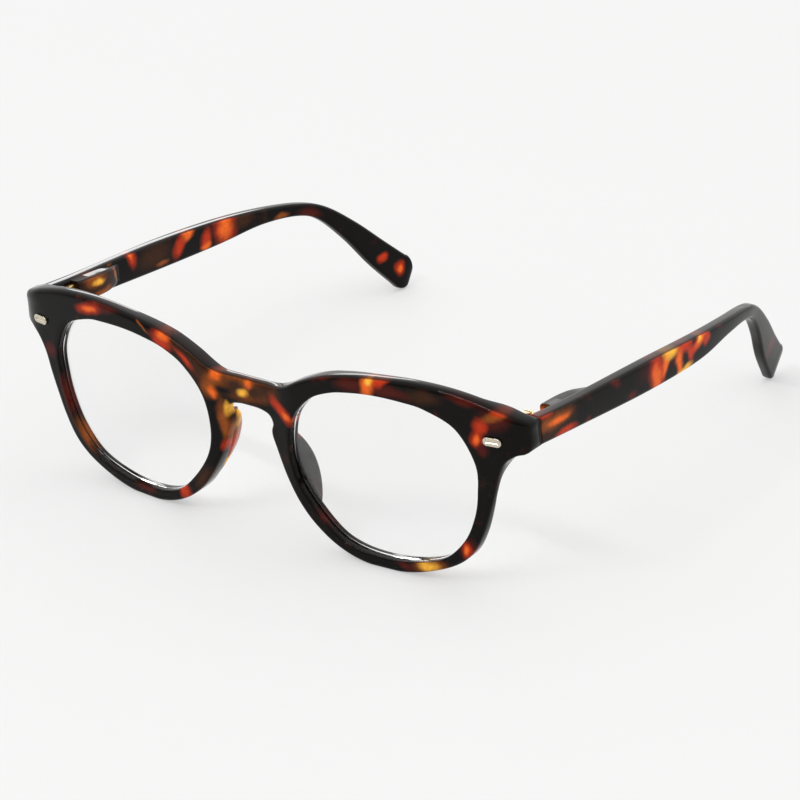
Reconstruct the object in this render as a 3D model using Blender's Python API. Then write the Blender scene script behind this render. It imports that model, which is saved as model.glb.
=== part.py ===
"""Full-rim reading glasses standing open on a table: a keyhole-bridge front with grooved lens openings,
two reading lenses, bonded nose pads, and two temples folding on brass barrel hinges.

Axes: +X is the wearer's left, +Y runs back along the open temples, +Z is up.
Lengths are written in millimetres and turned into metres when a mesh is made.
"""

import math

import bmesh
import bpy
from mathutils import Matrix, Vector

MM = 0.001
FRONT_TO_ORIGIN = 61.31  # from the bridge's front face back to the middle of the glasses' length

# Front
FACE_CURVE = 0.00216  # the front's wrap: its face lies at FACE_CURVE * x * x / 2
RIM_THICK = 4.1
END_THICK = 5.4
BRIDGE_RECESS = 0.9
LENS_CENTRE = (34.3, 21.2)
PAD_GAP = 0.15  # bond line between a nose pad and the rim
GROOVE_DEPTH = 0.75
GROOVE_HALF = 0.75
GROOVE_AT = 2.0  # from the front face back to the middle of the groove
INNER_ROUND = 0.35

# Joint between front and temple
JOINT_Y = 11.2
JOINT_GAP = 0.15
SIDE_X = 69.1
END_WRAP = 0.05  # the face's extra curve from END_WRAP_X outwards
END_WRAP_X = 63.0
TEMPLE_THICK = 3.2

# Hinge
PIN = (64.2, 13.1)
BARREL_R = 1.5
BARREL_LOW = 33.9
BARREL_TOP = 38.3
BORE_R = 0.62
SCREW_R = 0.55
SCREW_HEAD_R = 1.05
POCKET_GAP = 0.12

# Ornament on each end piece
PLATE_AT = (62.1, 35.2)
PLATE_LONG = 4.2
PLATE_HIGH = 1.9
PLATE_THICK = 0.55
PLATE_PIN_R = 0.45

# Outer outline of the left half, from the bridge's underside round to its top: x, z, front rounding,
# the direction in degrees of the lens edge facing it, and the width of the bevel along the rear edge.
OUTLINE = (
    (0.0, 29.7, 0.9, 152, 0.6),
    (2.8, 29.6, 0.9, 154.5, 0.6),
    (5.3, 28.9, 0.8, 158, 0.6),
    (6.3, 27.3, 0.7, 163, 0.6),
    (5.8, 25.6, 0.7, 169, 0.6),
    (5.9, 24.0, 0.7, 174, 0.6),
    (6.7, 21.8, 0.7, 181, 0.6),
    (7.8, 18.9, 0.7, 187, 0.6),
    (9.4, 15.4, 0.7, 194, 0.6),
    (12.2, 10.8, 0.7, 203, 0.6),
    (15.6, 6.7, 0.7, 215, 0.6),
    (20.5, 3.0, 0.7, 231, 0.6),
    (26.0, 0.7, 0.7, 247, 0.6),
    (32.0, -0.15, 0.7, 263, 0.6),
    (38.5, 0.2, 0.7, 278, 0.7),
    (44.8, 1.8, 0.7, 293, 0.9),
    (51.1, 4.6, 0.7, 309, 1.3),
    (55.3, 8.2, 0.7, 322, 1.3),
    (58.1, 13.2, 0.7, 338, 1.6),
    (60.1, 18.8, 0.7, 354, 2.0),
    (61.4, 23.0, 0.7, 364, 2.4),
    (62.5, 27.0, 0.8, 371, 1.9),
    (64.1, 30.3, 0.8, 376, 0.7),
    (66.4, 32.2, 0.9, 380, 0.6),
    (68.2, 32.7, 1.0, 382, 0.6),
    (69.1, 33.7, 1.1, 384, 0.6),
    (69.1, 36.6, 1.4, 387, 0.7),
    (69.1, 38.7, 1.1, 390, 0.6),
    (68.3, 39.8, 1.1, 392, 0.8),
    (66.2, 40.8, 1.3, 395, 1.2),
    (62.0, 42.3, 1.5, 400, 1.4),
    (56.0, 43.7, 1.4, 408, 1.6),
    (50.0, 44.4, 1.3, 417, 1.6),
    (43.0, 44.5, 1.3, 430, 1.5),
    (36.0, 44.0, 1.2, 446, 1.3),
    (28.0, 43.1, 1.2, 465, 1.0),
    (21.0, 41.6, 1.1, 482, 0.7),
    (15.0, 39.2, 1.0, 493, 0.6),
    (10.6, 36.9, 1.0, 500, 0.6),
    (7.5, 36.0, 1.0, 503.5, 0.6),
    (3.5, 36.0, 1.0, 506, 0.6),
    (0.0, 36.0, 1.0, 508, 0.6),
)
OUTLINE_STEPS = 2
BRIDGE_STEPS = 4
BRIDGE_END_ANGLE = 512

# Edge of the lens opening, as x, z
OPENING = (
    (57.6, 22.5),
    (57.5, 29.2),
    (53.4, 36.1),
    (46.5, 39.1),
    (40.9, 39.8),
    (34.0, 39.9),
    (28.0, 39.3),
    (22.8, 38.2),
    (17.4, 35.6),
    (12.6, 30.2),
    (11.1, 23.5),
    (11.9, 17.2),
    (15.2, 11.6),
    (20.8, 5.8),
    (25.6, 3.4),
    (32.0, 2.5),
    (39.7, 3.0),
    (48.2, 5.6),
    (53.6, 10.8),
    (56.4, 16.6),
)

# The tip's rounded end: how far before the end, and how much lower than the full half height
TIP_END = ((-3.4, 0.0), (-2.0, 0.2), (-0.9, 0.8), (-0.2, 1.7), (0.0, 2.8))
TIP_SKEW = 0.18  # how far the tip's lower corner runs ahead of its upper one, per unit of height

# Temple centre line, back from its front end: y, z, outer face x, height, thickness
TEMPLE = (
    (0.0, 36.1, 69.1, 6.3, 3.2),
    (12.0, 34.9, 69.3, 6.3, 3.2),
    (37.0, 32.8, 69.5, 6.9, 3.2),
    (57.0, 31.1, 68.9, 6.0, 3.2),
    (71.0, 30.2, 67.2, 3.9, 3.1),
    (82.0, 28.4, 64.8, 3.1, 3.0),
    (88.5, 25.3, 62.8, 3.6, 2.9),
    (95.3, 18.6, 60.2, 5.1, 2.8),
    (101.8, 10.6, 57.4, 7.0, 2.7),
    (109.8, 1.85, 54.5, 8.2, 2.6),
)

# The boss inside a temple: y, how far it stands in from the temple's inner face
BOSS = ((18.3, 2.3), (21.0, 2.5), (24.5, 2.6), (28.0, 2.1), (31.2, 1.1), (33.6, -0.3))


def clear_scene():
    for obj in list(bpy.data.objects):
        bpy.data.objects.remove(obj)


def smooth_step(low, high, value):
    t = min(1.0, max(0.0, (value - low) / (high - low)))
    return t * t * (3.0 - 2.0 * t)


def spline(knots, steps, closed=False):
    """Catmull-Rom curve through rows of numbers, with this many samples between neighbours."""
    count = len(knots)
    rows = []
    for i in range(count if closed else count - 1):
        if closed:
            near = [knots[(i + k) % count] for k in (-1, 0, 1, 2)]
        else:
            near = [knots[min(count - 1, max(0, i + k))] for k in (-1, 0, 1, 2)]
        for s in range(steps):
            t = s / steps
            row = []
            for a, b, c, d in zip(*near):
                square = 2.0 * a - 5.0 * b + 4.0 * c - d
                cubic = 3.0 * (b - c) + d - a
                row.append(b + 0.5 * t * (c - a + t * (square + t * cubic)))
            rows.append(tuple(row))
    if not closed:
        rows.append(tuple(knots[-1]))
    return rows


def material(name, colour, roughness, metallic=0.0, transmission=0.0):
    made = bpy.data.materials.new(name)
    made.use_nodes = True
    shader = made.node_tree.nodes["Principled BSDF"]
    shader.inputs["Base Color"].default_value = (*colour, 1.0)
    shader.inputs["Roughness"].default_value = roughness
    shader.inputs["Metallic"].default_value = metallic
    shader.inputs["Transmission Weight"].default_value = transmission
    return made


def mesh_object(name, points, faces, slot, smooth=True):
    """One object from points in millimetres, with its faces turned outwards."""
    mesh = bpy.data.meshes.new(name)
    mesh.from_pydata([Vector((x, y - FRONT_TO_ORIGIN, z)) * MM for x, y, z in points], [], faces)
    bm = bmesh.new()
    bm.from_mesh(mesh)
    bmesh.ops.recalc_face_normals(bm, faces=bm.faces)
    bm.to_mesh(mesh)
    bm.free()
    obj = bpy.data.objects.new(name, mesh)
    bpy.context.scene.collection.objects.link(obj)
    if slot is not None:
        mesh.materials.append(slot)
    if smooth:
        mesh.shade_smooth()
    return obj


def mirrored(points, side):
    return [(x * side, y, z) for x, y, z in points]


def ring_faces(rings):
    """Quads between neighbouring closed rings of point numbers."""
    faces = []
    for low, high in zip(rings, rings[1:]):
        for i in range(len(low)):
            j = (i + 1) % len(low)
            faces.append((low[i], low[j], high[j], high[i]))
    return faces


def loft(name, rings, slot, side=1, smooth=True):
    """A closed body through rings of the same number of points, with flat ends."""
    points = [p for ring in rings for p in ring]
    size = len(rings[0])
    numbers = [list(range(k * size, (k + 1) * size)) for k in range(len(rings))]
    faces = ring_faces(numbers) + [numbers[0], numbers[-1][::-1]]
    return mesh_object(name, mirrored(points, side), faces, slot, smooth)


def box(name, low, high, side=1):
    rings = []
    for z in (low[2], high[2]):
        corners = ((low[0], low[1]), (high[0], low[1]), (high[0], high[1]), (low[0], high[1]))
        rings.append([(x, y, z) for x, y in corners])
    return loft(name, rings, None, side, False)


def cylinder(name, centre, radius, low, high, side=1, count=24):
    rings = []
    for z in (low, high):
        turns = [2.0 * math.pi * k / count for k in range(count)]
        rings.append(
            [(centre[0] + radius * math.cos(a), centre[1] + radius * math.sin(a), z) for a in turns]
        )
    return loft(name, rings, None, side)


def combine(target, others, operation):
    """Joins or cuts the other objects, then removes them."""
    for other in others:
        change = target.modifiers.new(operation.lower(), "BOOLEAN")
        change.operation = operation
        change.solver = "EXACT"
        change.object = other
        graph = bpy.context.evaluated_depsgraph_get()
        changed = bpy.data.meshes.new_from_object(target.evaluated_get(graph))
        target.modifiers.clear()
        target.data = changed
        bpy.data.objects.remove(other)
    bm = bmesh.new()
    bm.from_mesh(target.data)
    bmesh.ops.triangulate(bm, faces=bm.faces)
    bm.to_mesh(target.data)
    bm.free()


def face_y(x, z):
    """Depth of the front's face, set back a little across the bridge."""
    recess = BRIDGE_RECESS * (1.0 - smooth_step(5.0, 13.0, abs(x)))
    wrap = END_WRAP * max(0.0, abs(x) - END_WRAP_X) ** 2
    return FACE_CURVE * x * x / 2.0 + recess + wrap


def back_y(x, z):
    """Depth of the front's rear surface, which thickens towards the hinge."""
    thick = RIM_THICK - 0.5 * (1.0 - smooth_step(4.0, 12.0, abs(x)))
    thick += (END_THICK - RIM_THICK) * smooth_step(58.0, 65.0, abs(x)) * smooth_step(28.0, 33.0, z)
    return FACE_CURVE * x * x / 2.0 + thick


def direction_normals(points, closed):
    """Unit normals to the left of the way the points run."""
    count = len(points)
    normals = []
    for i in range(count):
        before = points[(i - 1) % count] if closed else points[max(0, i - 1)]
        after = points[(i + 1) % count] if closed else points[min(count - 1, i + 1)]
        along = Vector((after[0] - before[0], after[1] - before[1])).normalized()
        normals.append((-along.y, along.x))
    return normals


def opening_at(angle):
    """The lens opening's edge in this direction from the lens centre, and its outward normal."""
    edge = spline(OPENING, 12, closed=True)
    normals = direction_normals(edge, closed=True)
    bearing = math.radians(angle)
    look = (math.cos(bearing), math.sin(bearing))
    count = len(edge)
    for i in range(count):
        a, b = edge[i], edge[(i + 1) % count]
        ax, az = a[0] - LENS_CENTRE[0], a[1] - LENS_CENTRE[1]
        bx, bz = b[0] - LENS_CENTRE[0], b[1] - LENS_CENTRE[1]
        from_a = look[0] * az - look[1] * ax
        from_b = look[0] * bz - look[1] * bx
        if from_a * from_b <= 0.0 and look[0] * ax + look[1] * az > 0.0:
            t = from_a / (from_a - from_b) if from_a != from_b else 0.0
            n, m = normals[i], normals[(i + 1) % count]
            normal = Vector((-n[0] - t * (m[0] - n[0]), -n[1] - t * (m[1] - n[1]))).normalized()
            return (a[0] + t * (b[0] - a[0]), a[1] + t * (b[1] - a[1])), (normal.x, normal.y)
    raise ValueError(angle)


def edge_points(spot, inward, profile, surface):
    """Points round an edge, from the outline to the surface: each is moved in and down by its profile."""
    points = []
    for inset, drop in profile:
        x = max(0.0, spot[0] + inward[0] * inset)
        z = spot[1] + inward[1] * inset
        points.append((x, surface(x, z) + drop, z))
    return points


def front_profile(radius):
    turns = [math.radians(a) for a in (90, 40, 0)]
    return [(radius * (1.0 - math.sin(a)), radius * (1.0 - math.cos(a))) for a in turns]


def rear_profile(width):
    """A bevel, steeper as it gets wider."""
    deep = 1.18 * width - 0.1
    return [(0.0, -deep), (0.6 * width, -0.24 * deep), (width, 0.0)]


def lens_side(angle):
    """Points from the face, over the opening's edge and the lens groove, to the rear surface."""
    edge, out = opening_at(angle)
    face = face_y(*edge)
    rear = back_y(*edge)
    profile = (
        (INNER_ROUND, face),
        (0.3 * INNER_ROUND, face + 0.3 * INNER_ROUND),
        (0.0, face + INNER_ROUND),
        (0.0, face + GROOVE_AT - GROOVE_HALF),
        (GROOVE_DEPTH, face + GROOVE_AT),
        (0.0, face + GROOVE_AT + GROOVE_HALF),
        (0.0, rear - INNER_ROUND),
        (INNER_ROUND, rear),
    )
    return [(edge[0] + out[0] * inset, y, edge[1] + out[1] * inset) for inset, y in profile]


def across(a, b, share, surface):
    x = a[0] + share * (b[0] - a[0])
    z = a[2] + share * (b[2] - a[2])
    return (x, surface(x, z), z)


def front_columns():
    """Points across the left half of the front at each step round it. A column runs from the outer edge
    over the face to the opening and back over the rear surface; the ones inside the bridge have no edge."""
    outer = spline(OUTLINE, OUTLINE_STEPS)
    spots = [(row[0], max(0.0, row[1])) for row in outer]
    inward = direction_normals(spots, closed=False)
    inward[0] = (0.0, 1.0)
    inward[-1] = (0.0, -1.0)
    columns = []
    for row, spot, way in zip(outer, spots, inward):
        front = edge_points(spot, way, front_profile(row[2]), face_y)
        rear = edge_points(spot, way, rear_profile(row[4]), back_y)
        columns.append(front[:2] + strip(front[2], lens_side(row[3]), rear[2]) + [rear[1], rear[0]])
    high, low = columns[-1], columns[0]
    for k in range(1, BRIDGE_STEPS):
        t = k / BRIDGE_STEPS
        z_face = high[2][2] + t * (low[2][2] - high[2][2])
        z_back = high[-3][2] + t * (low[-3][2] - high[-3][2])
        face = (0.0, face_y(0.0, z_face), z_face)
        back = (0.0, back_y(0.0, z_back), z_back)
        angle = outer[-1][3] + t * (BRIDGE_END_ANGLE - outer[-1][3])
        columns.append(strip(face, lens_side(angle), back))
    return columns


def strip(face, inner, back):
    """Points from a face point in to the opening, through it, and out to a rear point."""
    points = [face] + [across(face, inner[0], t, face_y) for t in (0.33, 0.67)]
    return points + inner + [across(inner[-1], back, 0.5, back_y), back]


def front_shell():
    """The whole front as one mesh: the left half and its mirror image, sharing the points at x = 0."""
    columns = front_columns()
    edged = len(columns) - BRIDGE_STEPS + 1
    size = len(columns[0])
    points, faces = [], []
    for side in (1, -1):
        numbers = []
        for column in columns:
            row = []
            for x, y, z in column:
                middle = (0.0, y, z)
                if x < 1e-6 and middle in points:
                    row.append(points.index(middle))
                else:
                    row.append(len(points))
                    points.append(middle if x < 1e-6 else (side * x, y, z))
            numbers.append(row)
        for i in range(edged - 1):
            here, there = numbers[i], numbers[i + 1]
            for k in range(size):
                j = (k + 1) % size
                faces.append((here[k], there[k], there[j], here[j]))
        strips = [numbers[edged - 1][2:-2]] + numbers[edged:] + [numbers[0][2:-2]]
        for here, there in zip(strips, strips[1:]):
            for k in range(size - 5):
                faces.append((here[k], there[k], there[k + 1], here[k + 1]))
    return points, faces


def end_lip(side):
    """The outer part of the end piece, which the temple's end meets."""
    rings = []
    for y, low, high in ((8.6, 33.1, 39.3), (9.8, 33.0, 39.3), (JOINT_Y, 32.95, 39.2)):
        middle, half = (low + high) / 2.0, (high - low) / 2.0
        centre_x = SIDE_X - 0.02 - TEMPLE_THICK / 2.0
        rings.append(
            [(centre_x + w, y, middle + h) for w, h in rounded_section(TEMPLE_THICK / 2.0, half, 0.7)]
        )
    return loft("end_lip", rings, None, side)


def rounded_section(half_wide, half_high, radius, steps=2):
    """Corners of a rounded rectangle round its middle."""
    points = []
    for quarter, (w, h) in enumerate(((1, 1), (-1, 1), (-1, -1), (1, -1))):
        for k in range(steps + 1):
            turn = math.radians(90.0 * (quarter + k / steps))
            points.append(
                (
                    w * (half_wide - radius) + radius * math.cos(turn),
                    h * (half_high - radius) + radius * math.sin(turn),
                )
            )
    return points


def make_front(slot):
    points, faces = front_shell()
    front = mesh_object("front_frame", points, faces, slot)
    for side in (1, -1):
        combine(front, [end_lip(side)], "UNION")
    cutters = []
    for side in (1, -1):
        g = POCKET_GAP
        cutters.append(
            box("leaf_pocket", (62.9 - g, 7.2 - g, 33.9 - g), (65.6 + g, 12.5, 38.3 + g), side)
        )
        cutters += plate_pins("pin_hole", side, PLATE_PIN_R + 0.05, 2.2)
    combine(front, cutters, "DIFFERENCE")
    return front


def plate_turn():
    """Where an ornament plate lies: its middle on the face, and its turn to follow the face's slope."""
    x, z = PLATE_AT
    return Matrix.Translation((x, face_y(x, z), z)) @ Matrix.Rotation(
        math.atan(FACE_CURVE * x + 0.02), 4, "Z"
    )


def plate_pins(name, side, radius, depth):
    made = []
    place = plate_turn()
    for along in (-1.1, 1.1):
        rings = []
        for y in (-0.3, depth):
            turns = [2.0 * math.pi * k / 12 for k in range(12)]
            rings.append(
                [
                    tuple(place @ Vector((along + radius * math.cos(a), y, radius * math.sin(a))))
                    for a in turns
                ]
            )
        made.append(loft(name, rings, None, side))
    return made


def make_rivet_plate(name, slot, side):
    place = plate_turn()
    rings = []
    for y, inset in ((-0.06, 0.0), (-0.4, 0.0), (-PLATE_THICK, 0.22)):
        ring = []
        for k in range(24):
            turn = 2.0 * math.pi * (k + 0.5) / 24
            radius = PLATE_HIGH / 2.0 - inset
            middle = math.copysign((PLATE_LONG - PLATE_HIGH) / 2.0, math.cos(turn))
            spot = Vector((middle + radius * math.cos(turn), y, radius * math.sin(turn)))
            ring.append(tuple(place @ spot))
        rings.append(ring)
    plate = loft(name, rings, slot, side, False)
    combine(plate, plate_pins("pin", side, PLATE_PIN_R, 2.0), "UNION")
    return plate


def make_lens(name, slot, side):
    """A reading lens: bulging towards the front, with a V edge that stands in the rim's groove."""
    angles = [360.0 * k / 56 for k in range(56)]
    edge = [opening_at(a) for a in angles]

    def ring(share, grow, depth, bulge):
        made = []
        for (x, z), out in edge:
            px = LENS_CENTRE[0] + share * (x - LENS_CENTRE[0]) + out[0] * grow
            pz = LENS_CENTRE[1] + share * (z - LENS_CENTRE[1]) + out[1] * grow
            y = FACE_CURVE * px * px / 2.0 + GROOVE_AT + depth - bulge * (1.0 - share * share)
            made.append((px, y, pz))
        return made

    rings = [ring(s, -0.1, -0.55, 1.1) for s in (0.12, 0.45, 0.75, 1.0)]
    rings.append(ring(1.0, 0.4, 0.0, 0.0))
    rings += [ring(s, -0.1, 0.55, 0.2) for s in (1.0, 0.75, 0.45, 0.12)]
    return loft(name, rings, slot, side)


def make_nose_pad(name, slot, side):
    """A crescent bonded to the rear of the rim beside the nose."""
    nasal = spline(OUTLINE[3:13], 4)
    low, high = 9.0, 26.2
    rings = []
    for k in range(11):
        share = k / 10.0
        z = high + (low - high) * share
        x = next(
            a[0] + (z - a[1]) / (b[1] - a[1]) * (b[0] - a[0])
            for a, b in zip(nasal, nasal[1:])
            if (a[1] - z) * (b[1] - z) <= 0.0
        )
        swell = math.sin(math.pi * min(0.97, max(0.03, share))) ** 0.7
        inner = x + 0.5
        wide = 1.0 + 2.2 * swell
        deep = 0.5 + 4.4 * swell
        section = (
            (0.0, 0.0),
            (wide, 0.0),
            (wide + 0.2 * swell, 0.35 * deep),
            (0.85 * wide + 0.5 * swell, 0.8 * deep),
            (0.55 * wide + 0.6 * swell, deep),
            (0.3 * wide + 0.6 * swell, 0.93 * deep),
            (0.1 * wide + 0.3 * swell, 0.6 * deep),
        )
        rings.append([(inner + w, back_y(inner + w, z) + PAD_GAP + d, z) for w, d in section])
    return loft(name, rings, slot, side)


def temple_stations():
    """Middle, height way, thickness way, half height and half thickness along the temple."""
    rows = spline(TEMPLE, 3)
    stations = []
    for i, (y, z, outer_x, high, thick) in enumerate(rows):
        a, b = rows[max(0, i - 1)], rows[min(len(rows) - 1, i + 1)]
        along = Vector((b[2] - a[2], b[0] - a[0], b[1] - a[1])).normalized()
        if i == 0:
            along = Vector((0.0, 1.0, 0.0))
        up = Vector((0.0, -along.z, along.y)).normalized()
        across = along.cross(up)
        middle = Vector((outer_x, y + JOINT_Y + JOINT_GAP, z)) - across * thick / 2.0
        stations.append((middle, up, across, high / 2.0, thick / 2.0, along))
    return stations


def temple_body(name, slot, side):
    rings = []
    stations = temple_stations()
    middle, up, across, high, thick, along = stations[-1]
    stations = stations[:-1]
    up = up - along * TIP_SKEW
    for forward, shrink in TIP_END:
        narrow = thick - 0.3 * shrink
        stations.append((middle + along * forward, up, across, high - shrink, narrow, along))
    for spot, up, across, high, thick, _ in stations:
        radius = min(0.9, 0.6 * thick)
        ring = [spot + across * w + up * h for w, h in rounded_section(thick, high, radius)]
        rings.append([(p.x, p.y, max(0.0, p.z)) for p in ring])
    return loft(name, rings, slot, side)


def temple_boss(side):
    """The thicker stretch inside the temple that holds the hinge leaf. It fades out towards the rear."""
    rings = []
    for y, proud in BOSS:
        z = 36.3 - 1.1 * (y - JOINT_Y) / 12.0
        high = 2.6 if y < 30 else 2.3
        outer = SIDE_X - 1.2
        inner = SIDE_X - TEMPLE_THICK - proud
        cut = 0.6
        rings.append(
            [
                (outer, y, z + high),
                (inner + cut, y, z + high),
                (inner, y, z + high - cut),
                (inner, y, z - high + cut),
                (inner + cut, y, z - high),
                (outer, y, z - high),
            ]
        )
    return loft("boss", rings, None, side, False)


def make_temple(name, slot, side):
    temple = temple_body(name, slot, side)
    combine(temple, [temple_boss(side)], "UNION")
    g = POCKET_GAP
    pocket = box("leaf_pocket", (64.9 - g, 14.0, 34.3 - g), (66.2 + g, 25.0 + g, 37.5 + g), side)
    combine(temple, [pocket], "DIFFERENCE")
    return temple


def knuckle(low, high, side):
    return cylinder("knuckle", PIN, BARREL_R, low, high, side, 20)


def make_front_hinge(name, slot, side):
    """The leaf sunk in the end piece, with the barrel's lower and upper knuckles."""
    leaf = box(name, (62.9, 7.2, BARREL_LOW), (65.6, 11.0, BARREL_TOP), side)
    leaf.data.materials.append(slot)
    for low, high in ((BARREL_LOW, 35.3), (36.9, BARREL_TOP)):
        web = box("web", (63.0, 10.5, low), (65.6, PIN[1], high), side)
        combine(leaf, [web, knuckle(low, high, side)], "UNION")
    bore = cylinder("bore", PIN, BORE_R, BARREL_LOW - 1, BARREL_TOP + 1, side)
    combine(leaf, [bore], "DIFFERENCE")
    return leaf


def make_temple_hinge(name, slot, side):
    """The leaf sunk in the temple's boss, with the barrel's middle knuckle."""
    leaf = box(name, (64.9, 15.0, 34.3), (66.2, 25.0, 37.5), side)
    leaf.data.materials.append(slot)
    low, high = 35.36, 36.84
    web = box("web", (64.6, PIN[1], low), (65.6, 15.5, high), side)
    combine(leaf, [web, knuckle(low, high, side)], "UNION")
    bore = cylinder("bore", PIN, BORE_R, low - 1, high + 1, side)
    combine(leaf, [bore], "DIFFERENCE")
    return leaf


def make_screw(name, slot, side):
    screw = cylinder(name, PIN, SCREW_R, BARREL_LOW + 0.1, BARREL_TOP + 0.1, side, 20)
    screw.data.materials.append(slot)
    low, high = BARREL_TOP + 0.04, BARREL_TOP + 0.5
    combine(screw, [cylinder("head", PIN, SCREW_HEAD_R, low, high, side, 20)], "UNION")
    x, y = PIN
    slit = box("slit", (x - 2.0, y - 0.14, high - 0.23), (x + 2.0, y + 0.14, high + 1.0), side)
    combine(screw, [slit], "DIFFERENCE")
    return screw


def fold_axis(name, children, side):
    """An empty on the hinge pin that the moving pieces hang from."""
    empty = bpy.data.objects.new(name, None)
    bpy.context.scene.collection.objects.link(empty)
    empty.location = Vector((side * PIN[0], PIN[1] - FRONT_TO_ORIGIN, 36.1)) * MM
    bpy.context.view_layer.update()
    for child in children:
        child.parent = empty
        child.matrix_parent_inverse = empty.matrix_world.inverted()


def main():
    clear_scene()
    shell = material("tortoiseshell", (0.09, 0.025, 0.012), 0.15)
    lens = material("lens", (0.96, 0.97, 0.96), 0.02, transmission=1.0)
    brass = material("brass", (0.72, 0.52, 0.22), 0.25, 1.0)
    steel = material("screw_steel", (0.62, 0.58, 0.5), 0.25, 1.0)
    silver = material("champagne_silver", (0.85, 0.8, 0.7), 0.2, 1.0)
    pad = material("pad_shell", (0.3, 0.1, 0.03), 0.15)
    temple_slot = material("temple_shell", (0.09, 0.025, 0.012), 0.15)
    make_front(shell)
    for side, word in ((1, "left"), (-1, "right")):
        make_lens("lens_" + word, lens, side)
        make_nose_pad("nose_pad_" + word, pad, side)
        make_rivet_plate("rivet_plate_" + word, silver, side)
        make_front_hinge("front_hinge_" + word, brass, side)
        make_screw("hinge_screw_" + word, steel, side)
        moving = [
            make_temple("temple_" + word, temple_slot, side),
            make_temple_hinge("temple_hinge_" + word, brass, side),
        ]
        fold_axis("fold_axis_" + word, moving, side)


main()
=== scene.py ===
"""Looks of the tortoiseshell reading glasses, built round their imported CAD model.

Shapes are laid out in millimetres, +X to the wearer's left, +Y back along the temples, +Z up, with
y = 0 where the rims' curved face would be furthest forward if it went on across the bridge. They
become metres in the CAD model's frame when a mesh is made.
"""

import math

import bmesh
import bpy
from mathutils import Matrix, Vector


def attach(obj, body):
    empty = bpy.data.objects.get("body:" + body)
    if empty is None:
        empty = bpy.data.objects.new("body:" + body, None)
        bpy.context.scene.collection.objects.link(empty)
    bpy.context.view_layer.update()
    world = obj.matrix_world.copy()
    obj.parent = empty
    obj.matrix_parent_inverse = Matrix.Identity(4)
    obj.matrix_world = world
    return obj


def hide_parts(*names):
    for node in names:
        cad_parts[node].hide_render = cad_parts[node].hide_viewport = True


MM = 0.001
FRONT_TO_ORIGIN = 61.31
SIDES = ((1, "left"), (-1, "right"))
CUT_BEYOND = 1.0  # how far a cutter reaches past what it cuts
LEAST_EDGE = 1e-3  # keeps two points apart where an edge has no size
NEAR_DIGITS = 6  # points that agree to this many digits are one

# Front. A pair of places is where a gradual change starts and where it ends.
FACE_CURVE = 0.00216  # per mm, seen from above
RIM_THICK = 4.1
END_THICK = 5.4
END_THICK_X = (58.0, 65.0)
END_THICK_Z = (28.0, 33.0)
BRIDGE_RECESS = 0.9
BRIDGE_RECESS_X = (5.0, 13.0)
BRIDGE_THINNER = 0.5
BRIDGE_THINNER_X = (4.0, 12.0)
LENS_CENTRE = (34.3, 21.2)
GROOVE_DEPTH = 0.75
GROOVE_HALF = 0.75
GROOVE_AT = 2.0
INNER_ROUND = 0.35
REAR_DEEP = 1.18  # depth of the rounding along the rear edge, as a share of its width
REAR_DEEP_LESS = 0.1
REAR_POWER = 1.32  # fullness of that rounding: 1 is a straight bevel, 2 an ellipse

# Numbers of steps between the points of an outline, and along a rounding or a flat
OUTLINE_STEPS = 6
OPENING_STEPS = 12
BRIDGE_STEPS = 8
FRONT_ROUND_STEPS = 6
REAR_ROUND_STEPS = 5
SMALL_ROUND_STEPS = 4
FLAT_STEPS = 6

# Lenses
LENS_POINTS = 120
LENS_RINGS = 10
LENS_MIDDLE = 0.02
LENS_FRONT_BULGE = 1.1
LENS_BACK_BULGE = 0.2
LENS_EDGE_HALF = 0.55
LENS_EDGE_GAP = 0.1
LENS_EDGE_OUT = 0.4

# Nose pads. A pair is the size at the ends and what is added in the middle.
PAD_GAP = 0.15
PAD_LOW = 9.0
PAD_HIGH = 26.2
PAD_IN = 0.5
PAD_STEPS = 40
PAD_SECTION_STEPS = 5
PAD_BLUNT = 0.03
PAD_SWELL_POWER = 0.7
PAD_WIDE = (1.0, 2.2)
PAD_DEEP = (0.5, 4.4)

# Section of a pad: share of its width, lean to the outside at the full swell, share of its depth
PAD_SECTION = (
    (0.0, 0.0, 0.0),
    (1.0, 0.0, 0.0),
    (1.0, 0.2, 0.35),
    (0.85, 0.5, 0.8),
    (0.55, 0.6, 1.0),
    (0.3, 0.6, 0.93),
    (0.1, 0.3, 0.6),
)

# Joint and hinge
JOINT_Y = 11.2
JOINT_GAP = 0.15
SIDE_X = 69.1
END_WRAP = 0.05
END_WRAP_X = 63.0
TEMPLE_THICK = 3.2
PIN = (64.2, 13.1)
BARREL_R = 1.5
BARREL_LOW = 33.9
BARREL_TOP = 38.3
BORE_R = 0.62
SCREW_R = 0.55
SCREW_HEAD_R = 1.05
POCKET_GAP = 0.12
METAL_EDGE = 0.09
FRONT_LEAF_X = (62.9, 65.6)
FRONT_LEAF_Y = (7.2, 11.0)
FRONT_POCKET_BACK = 12.5
FRONT_WEB_X = (63.0, 65.6)
FRONT_WEB_FRONT = 10.5
FRONT_KNUCKLES = ((BARREL_LOW, 35.3), (36.9, BARREL_TOP))
TEMPLE_LEAF_X = (64.9, 66.2)
TEMPLE_LEAF_Y = (15.0, 25.0)
TEMPLE_LEAF_Z = (34.3, 37.5)
TEMPLE_POCKET_FRONT = 14.0
TEMPLE_WEB_X = (64.6, 65.6)
TEMPLE_WEB_BACK = 15.5
TEMPLE_KNUCKLE = (35.36, 36.84)
SCREW_SHORT = 0.1
SCREW_POINTS = 48
SCREW_HEAD_LOW = 0.04
SCREW_HEAD_HIGH = 0.5
SCREW_HEAD_ROUND = (0.5, 0.16)
HEAD_STEPS = 5
SLIT_HALF_LONG = 2.0
SLIT_HALF_WIDE = 0.14
SLIT_DEEP = 0.23

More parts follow.
